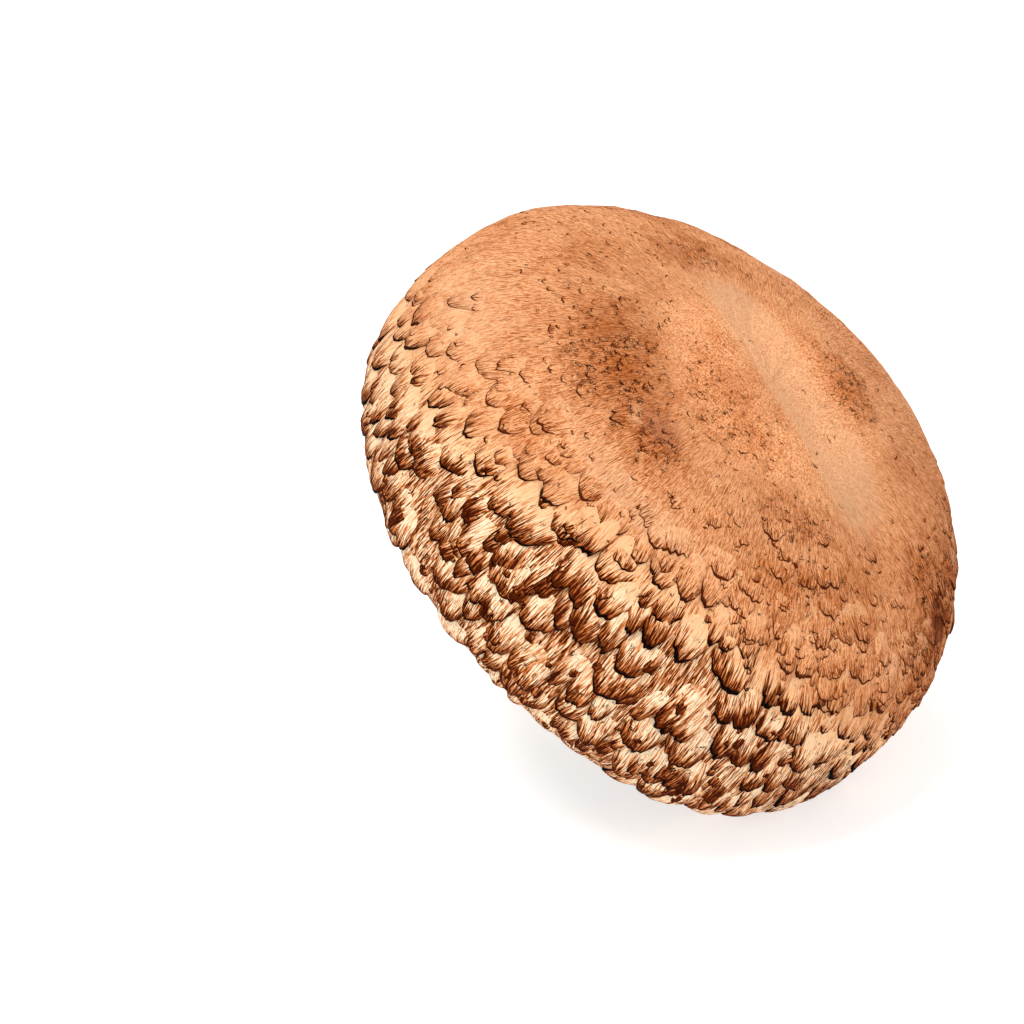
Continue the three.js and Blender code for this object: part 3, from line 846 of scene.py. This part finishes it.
def small_scales(name, count, seed, narrow, wide, rise, turning):
    """Draws places at random, and keeps those where this kind grows until there are enough."""
    rng = np.random.default_rng(seed)
    specs = []
    while len(specs) < count:
        angle, up, chance = rng.uniform(-math.pi, math.pi), rng.uniform(1.5, 84), rng.uniform()
        radius = float(outline_radius(SKIN_LENGTH - up))
        here = (np.array([angle]), np.array([up]))
        scaly = float(scaliness(*here)[0])
        dusky = float(patch_share(DUSKY_PATCHES, *here)[0])
        if chance > wanted_here(name, angle, up, scaly, dusky) * radius / CAP_RADIUS:
            continue
        long = name == "tufts"
        width = narrow + (wide - narrow) * rng.uniform() ** 2
        specs.append({
            "angle": angle,
            "tip": up,
            "turn": rng.uniform(-turning, turning),
            "roll": rng.uniform(-0.5, 0.3),
            "peak": rng.uniform(-0.5, 0.5),
            "width": width,
            "length": width * (rng.uniform(1.2, 2.2) if long else rng.uniform(0.6, 1.3)),
            "reach": width * (rng.uniform(1.2, 2.4) if long else rng.uniform(0.5, 1.0)),
            "height": rise * width * rng.uniform(0.7, 1.4),
            "bulge": 0.08,
            "slit_shade": rng.uniform(0.1, 0.3) * (1 + 0.4 * dusky),
            "thick": 0.3,
            "sunk": 0.12,
            "rim": rng.uniform(0.05, 0.28),
            "taper": rng.uniform(0.0, 0.3),
            "cut": width * rng.uniform(0.1, 0.6),
            "ragged": 0.05 * width,
            "tone": rng.uniform(0.2, 1.0),
            "seed": 1000 * seed + len(specs),
        })
    return specs


ground = ground_under([cap, scales])
for kind in SMALL_KINDS:
    specs = small_scales(*kind)
    small_pattern = add_scale_pattern("tuft_pattern", TUFT_COLUMNS, TUFT_STEPS)
    make_scales("cap_" + kind[0], small_pattern, specs, ground)


# ---- Gills ---------------------------------------------------
# Thin brown blades hang from the cap's flesh all round the stem, long ones with shorter ones between
# them. They grew out of a thin bed of the same tissue, which follows the roof of the chamber.

GILL_GAP = 0.35
GILL_INNER = 13.2
GILL_OUTER = 42.6
GILL_BED = 1.0
GILL_EDGE_INNER = 9.4
GILL_EDGE_OUTER = 7.6
GILL_SETS = 56
GILL_STARTS = (13.4, 33.0, 25.5, 35.0)
GILL_THICKNESS = 0.36
GILL_STEPS = 9
BED_STATIONS = 224

GILL_DARK = linear(58, 34, 24)
GILL_BROWN = linear(104, 66, 46)
GILL_PINK = linear(158, 112, 88)


def gill_top(radius):
    return np.interp(radius, [CEILING_BREAK, CHAMBER_RADIUS], [CEILING_MIDDLE, CEILING_EDGE]) - GILL_GAP


def gill_material():
    material, tree, shader = start_material("brown gill tissue")
    place = tree.nodes.new("ShaderNodeTexCoord").outputs["Object"]
    grain = read_attribute(tree, "grain", "Vector")
    edgeward = read_attribute(tree, "edgeward")
    clouds = noised(place, 0.009, detail=4, roughness=0.6)
    streaks = noised(grain, (0.7, 5.0, 0.8), detail=3, roughness=0.65, distortion=0.3)
    dust = noised(place, 0.0005, detail=3, roughness=0.7)
    colour = mixed(tree, ranged(clouds, 0.38, 0.62), GILL_BROWN, GILL_PINK)
    colour = mixed(tree, ranged(streaks, 0.42, 0.62, 0.0, 0.75), colour, GILL_DARK)
    # Darker towards the blades' roots: painted shade deep between the blades.
    colour = mixed(tree, ranged(edgeward, 0.0, 0.55, 0.65, 0.0), colour, GILL_DARK)
    colour = mixed(tree, ranged(edgeward, 0.93, 1.0, 0.0, 0.45), colour, GILL_PINK)
    colour = mixed(tree, ranged(dust, 0.55, 0.7, 0.0, 0.4), colour, GILL_DARK)
    bumped(shader, scaled(streaks, 0.7, dust), 0.0003, 0.6)
    set_surface(tree, shader, colour, ranged(dust, 0.4, 0.6, 0.6, 0.85), 0.2)
    return material


gill_tissue = gill_material()


def add_slab(name, across, along):
    """A flat grid like a sheet, with a thickness: z = 0.5 on one face and -0.5 on the other."""
    slab = add_sheet(name, across, along)
    make_active(slab)
    solid = slab.modifiers.new("thickness", "SOLIDIFY")
    solid.thickness = 1
    solid.offset = 0
    bpy.ops.object.modifier_apply(modifier=solid.name)
    return slab


def drape_blade(pattern, angle, start, rng):
    """A copy of the slab as one blade: x runs from its inner end to the margin, y from root to edge."""
    flat = read_points(pattern.data)
    run, drop, side = flat[:, 0], flat[:, 1], np.sign(flat[:, 2])
    radius = start + (GILL_OUTER - start) * run
    top = gill_top(radius) - 0.4 * GILL_BED
    edge = GILL_EDGE_OUTER + (GILL_EDGE_INNER - GILL_EDGE_OUTER) * (CHAMBER_RADIUS - radius) / 30
    edge = edge + 0.35 * np.sin(radius * 0.45 + rng.uniform(0, 6)) + rng.uniform(0, 0.5)
    taken = smooth(-0.02, 0.16 if start < 20 else 0.5, run) * (1 - 0.25 * smooth(0.86, 1.0, run))
    z = top + (edge - top) * drop * (0.25 + 0.75 * taken)
    wander = 0.3 * np.sin(radius * rng.uniform(0.25, 0.5) + rng.uniform(0, 6))
    wander = wander + rng.uniform(-0.45, 0.45) * drop
    off = wander + side * 0.5 * GILL_THICKNESS * (1 - 0.6 * drop)
    mesh = pattern.data.copy()
    lay_points(mesh, around(radius, angle + off / radius, z))
    grain = np.stack([np.full_like(radius, rng.uniform(0, 500)), radius, z], axis=-1)
    set_attributes(mesh, grain=grain, edgeward=drop)
    return add_object("blade", mesh)


def add_swept(name, stations, outline):
    """A tube of this closed outline, with each vertex's direction, radius and height."""
    tube, angle, row = add_tube(name, stations, len(outline))
    radius, height = np.array(outline + outline[:1])[row].T
    return tube, angle, radius, height


def make_gill_bed():
    top = [(GILL_INNER, 0), (23, 0), (33, 0), (GILL_OUTER, 0)]
    outline = top + [(radius, -GILL_BED) for radius, _ in reversed(top)]
    bed, angle, radius, height = add_swept("gill_bed", BED_STATIONS, outline)
    z = gill_top(radius) + height
    lay_points(bed.data, around(radius, angle, z))
    # The bed between the blades takes the same painted shade as the blades' roots.
    set_attributes(bed.data, grain=np.stack([angle * 9, radius, z], axis=-1), edgeward=0.1)
    close_up(bed)
    finish_piece(bed, gill_tissue)


def make_blades():
    rng = np.random.default_rng(21)
    pattern = add_slab("blade_pattern", GILL_STEPS, 2)
    blades = []
    count = GILL_SETS * len(GILL_STARTS)
    for place in range(count):
        kind = place % len(GILL_STARTS)
        start = GILL_STARTS[kind] + (rng.uniform(-2.5, 2.5) if kind else rng.uniform(0, 0.6))
        angle = (place + rng.uniform(-0.2, 0.2)) * math.tau / count
        blades.append(drape_blade(pattern, angle, start, rng))
    bpy.data.objects.remove(pattern, do_unlink=True)
    piece = join_pieces("gill_blades", blades)
    finish_piece(piece, gill_tissue)
    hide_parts("gills")


make_gill_bed()
make_blades()


# ---- Stem ----------------------------------------------------
# A short thick stem of white fibrous flesh, bent a little where the cap's weight pulled it over. It was
# cut off with a knife; the cut has dried and browned, and its middle has sunk.

STEM_TOP = 19.15
FOOT_Z = -20.6
BEND_X = 3.0
BEND_Y = 6.0

# Radius and height, from the top down.
STEM_OUTLINE = [
    (10.6, 19.15), (10.8, 6), (11.4, 0), (11.6, -5), (11.8, -9), (12, -12), (13.2, -14.6), (13.6, -17.4),
    (13.3, -19), (12, -20.6),
]
STEM_STATIONS = 128
STEM_RINGS = 72
FOOT_RINGS = 14
FOOT_HOLLOW = 0.9
STEM_RIDGE = 0.07

STEM_WHITE = linear(242, 230, 210)
STEM_TAN = linear(218, 188, 150)
STEM_BROWN = linear(160, 112, 74)
STEM_STAIN = linear(96, 58, 34)


def stem_material():
    material, tree, shader = start_material("white fibrous stem")
    place = tree.nodes.new("ShaderNodeTexCoord").outputs["Object"]
    grain = read_attribute(tree, "grain", "Vector")
    cut = read_attribute(tree, "cut")
    clouds = noised(place, 0.008, detail=4, roughness=0.65)
    fibres = noised(grain, (0.5, 0.5, 7.0), detail=4, roughness=0.65, distortion=0.3)
    hairs = noised(grain, (0.22, 0.22, 3.0), detail=2, roughness=0.6, distortion=0.2)
    pores = noised(place, 0.0007, detail=3, roughness=0.7)
    colour = mixed(tree, ranged(clouds, 0.42, 0.66, 0.0, 0.8), STEM_WHITE, STEM_TAN)
    colour = mixed(tree, ranged(fibres, 0.54, 0.72, 0.0, 0.5), colour, STEM_BROWN)
    colour = mixed(tree, ranged(hairs, 0.54, 0.68, 0.0, 0.5), colour, STEM_TAN)
    stained = mixed(tree, ranged(clouds, 0.40, 0.60), STEM_TAN, STEM_BROWN)
    stained = mixed(tree, ranged(pores, 0.52, 0.68, 0.0, 0.8), stained, STEM_STAIN)
    colour = mixed(tree, cut, colour, stained)
    relief = scaled(fibres, 0.7, mathed("MULTIPLY", hairs, 0.3))
    relief = scaled(pores, 0.3, relief)
    bumped(shader, relief, 0.0006, 0.6)
    set_surface(tree, shader, colour, ranged(fibres, 0.4, 0.6, 0.5, 0.75), 0.25)
    return material


stem_flesh = stem_material()


def bent(points):
    """Bends the upright stem, more towards its foot."""
    share = ((STEM_TOP - points[..., 2]) / (STEM_TOP - FOOT_Z)) ** 2
    return points + np.stack([BEND_X * share, BEND_Y * share, 0 * share], axis=-1)


def stem_radius(z):
    rising = STEM_OUTLINE[::-1]
    return np.interp(z, [height for _, height in rising], [radius for radius, _ in rising])


def make_stem():
    stem, angle, row = add_tube("stem_body", STEM_STATIONS, STEM_RINGS + 2 * FOOT_RINGS)
    side = np.clip((row - FOOT_RINGS) / STEM_RINGS, 0, 1)
    closing = np.clip(row / FOOT_RINGS, 0, 1)
    foot = np.clip((row - FOOT_RINGS - STEM_RINGS) / FOOT_RINGS, 0, 1)
    z = STEM_TOP + (FOOT_Z - STEM_TOP) * side
    ridges = np.sin(17 * angle + 1.2 * np.sin(3 * angle)) + 0.7 * np.sin(31 * angle + 2)
    height = STEM_RIDGE * ridges + 0.4 * lumps(angle, z * 2.2, 11, 2.3) + 0.15 * lumps(angle, z, 3.4, 6.1)
    radius = (stem_radius(z) + height * np.sin(math.pi * side) ** 0.3) * closing * (1 - foot)
    uneven = 0.3 * lumps(angle, 14 * foot, 7, 4.4) * smooth(0, 0.3, foot) * (1 - smooth(0.7, 1, foot))
    hollow = FOOT_HOLLOW * smooth(0.1, 0.8, foot) + uneven
    lay_points(stem.data, bent(around(radius, angle, z + hollow)))
    set_attributes(stem.data, grain=around(12, angle, z - 14 * foot), cut=smooth(0.0, 0.08, foot))
    close_up(stem)
    finish_piece(stem, stem_flesh, angle=50)
    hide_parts("stem")


make_stem()


# ---- Stem: the ring ------------------------------------------
# The torn rest of the veil that once closed the cap: a short, thick and ragged skirt round the stem,
# grown fast to it at its top edge.

RING_STATIONS = 220

# Radius and height, from its root down over its outside and back up its inside.
RING_OUTLINE = [
    (11.2, -3.9), (11.9, -4.6), (12.9, -5.3), (13.8, -6.2), (14.45, -7.3), (14.1, -7.9), (13.2, -7.2),
    (12.2, -6.7), (11.2, -6.6),
]


def make_stem_ring():
    ring, angle, radius, z = add_swept("stem_ring", RING_STATIONS, RING_OUTLINE)
    outward = smooth(11.9, 14.5, radius)
    torn = 0.5 * lumps(angle, z * 0, 3.0, 1.7) + 0.7 * lumps(angle, z * 0, 9.0, 8.2) - 0.25
    radius = radius + outward * 0.7 * np.clip(torn, -1, 0.2)
    z = z - outward * 1.3 * torn + 0.2 * lumps(angle, radius * 2, 2.2, 3.3)
    lay_points(ring.data, bent(around(radius, angle, z)))
    browned = 0.35 * smooth(13.6, 14.6, radius)
    set_attributes(ring.data, grain=around(14, angle, 2 * z + 2 * radius), cut=browned)
    close_up(ring)
    finish_piece(ring, stem_flesh, angle=50)


make_stem_ring()


# ---- Cap: the veil's fringe ----------------------------------
# Shreds of the same torn veil, cream and papery. They still hang from the inner lip of the cap's margin,
# with their roots in its flesh.

FRINGE_SHREDS = 120
FRINGE_INNER = 44.2
FRINGE_OUTER = 45.4
SHRED_ROOT = 1.3
SHRED_HALF_THICKNESS = 0.12


def make_fringe():
    rng = np.random.default_rng(31)
    pattern = add_slab("shred_pattern", 4, 3)

    # Hanging it on the lip turns the slab inside out, so its faces point inwards until then.
    pattern.data.flip_normals()

    flat = read_points(pattern.data)
    across, drop, side = flat[:, 0] - 0.5, flat[:, 1], np.sign(flat[:, 2])
    shreds = []
    for place in range(FRINGE_SHREDS):
        middle = (place + rng.uniform(-0.4, 0.4)) * math.tau / FRINGE_SHREDS
        width = rng.uniform(2.4, 7.0)
        hang = rng.uniform(0.0, 1.3)
        root = rng.uniform(FRINGE_INNER, FRINGE_OUTER)
        lean = rng.uniform(-0.9, 0.5)
        torn = 1 - (2 * np.abs(across - rng.uniform(-0.3, 0.3))) ** 1.5 * rng.uniform(0.1, 0.45)
        radius = root + lean * drop + side * SHRED_HALF_THICKNESS * (1 - 0.5 * drop)
        angle = middle + (across * width * (1 - 0.2 * drop) + rng.uniform(-0.6, 0.6) * drop) / radius
        lip = LIP_LOW - margin_drop(angle, np.full_like(angle, LIP_LOW))
        z = lip + SHRED_ROOT - (SHRED_ROOT + hang) * drop * torn
        mesh = pattern.data.copy()
        lay_points(mesh, around(radius * waviness(angle), angle, z))
        grain = np.stack([across * width, np.full_like(angle, 11.0 * place), z], axis=-1)
        mark_skin(mesh, angle, np.full_like(angle, 0.0), grain, 0.3 * drop, rng.uniform(0, 1), flesh=0.7)
        shreds.append(add_object("shred", mesh))
    bpy.data.objects.remove(pattern, do_unlink=True)
    fringe = join_pieces("veil_fringe", shreds)
    finish_piece(fringe, cap_skin, angle=55)


make_fringe()


# ---- Table, light and camera ---------------------------------
# A plain white light table that runs out of view, large soft lamps, and a long lens.

bpy.ops.object.select_all(action="DESELECT")
bpy.ops.mesh.primitive_plane_add(size=6, location=(0, 0, 0))
table = bpy.context.active_object
table.name = "table_top"
table_material, table_tree, table_shader = start_material("pale table top")
set_surface(table_tree, table_shader, colour=(0.6, 0.6, 0.6, 1), roughness=0.7, gloss=0.1)
feed(table_tree, table_shader, {"Emission Color": (1, 1, 1, 1), "Emission Strength": 0.62})
table.data.materials.append(table_material)


def add_lamp(name, place, aim, size, power, colour=(1, 1, 1)):
    light = bpy.data.lights.new(name, "AREA")
    light.shape = "DISK"
    light.size = size
    light.energy = power
    light.color = colour
    lamp = add_object(name, light)
    lamp.location = place
    lamp.rotation_euler = (Vector(aim) - Vector(place)).to_track_quat("-Z", "Y").to_euler()


add_lamp("key_light", (-0.16, -0.42, 0.92), (0, 0, 0.04), 0.36, 6.0, (1.0, 0.975, 0.94))
add_lamp("fill_light", (0.7, -0.45, 0.55), (0, 0, 0.04), 0.5, 1.3, (1.0, 0.97, 0.93))
add_lamp("back_light", (-0.4, 0.6, 0.7), (0, 0, 0.04), 0.5, 2.2)

world = bpy.data.worlds.new("studio")
bpy.context.scene.world = world
world.use_nodes = True
feed(world.node_tree, world.node_tree.nodes["Background"], {"Color": (1, 1, 1, 1), "Strength": 0.76})

CAMERA_AZIMUTH = math.radians(19.35)
CAMERA_ELEVATION = math.radians(30)
CAMERA_ROLL = math.radians(0.63)
CAMERA_DISTANCE = 0.9
LENS = 188.1
AIM_HEIGHT = 0.043
AIM_RIGHT = -0.0244
AIM_UP = -0.0021

back = Vector((
    math.sin(CAMERA_AZIMUTH) * math.cos(CAMERA_ELEVATION),
    -math.cos(CAMERA_AZIMUTH) * math.cos(CAMERA_ELEVATION),
    math.sin(CAMERA_ELEVATION),
))
level_right = Vector((math.cos(CAMERA_AZIMUTH), math.sin(CAMERA_AZIMUTH), 0))
level_up = back.cross(level_right)
right = level_right * math.cos(CAMERA_ROLL) + level_up * math.sin(CAMERA_ROLL)
up = back.cross(right)
aim = Vector((0, 0, AIM_HEIGHT)) + right * AIM_RIGHT + up * AIM_UP
camera_data = bpy.data.cameras.new("camera")
camera_data.sensor_width = 36
camera_data.lens = LENS
camera_data.clip_end = 20
camera = add_object("camera", camera_data)
camera.location = aim + back * CAMERA_DISTANCE
rotation = [[right[i], up[i], back[i]] for i in range(3)]
camera.rotation_euler = Matrix(rotation).to_euler()
bpy.context.scene.camera = camera
bpy.context.scene.view_settings.view_transform = "Standard"
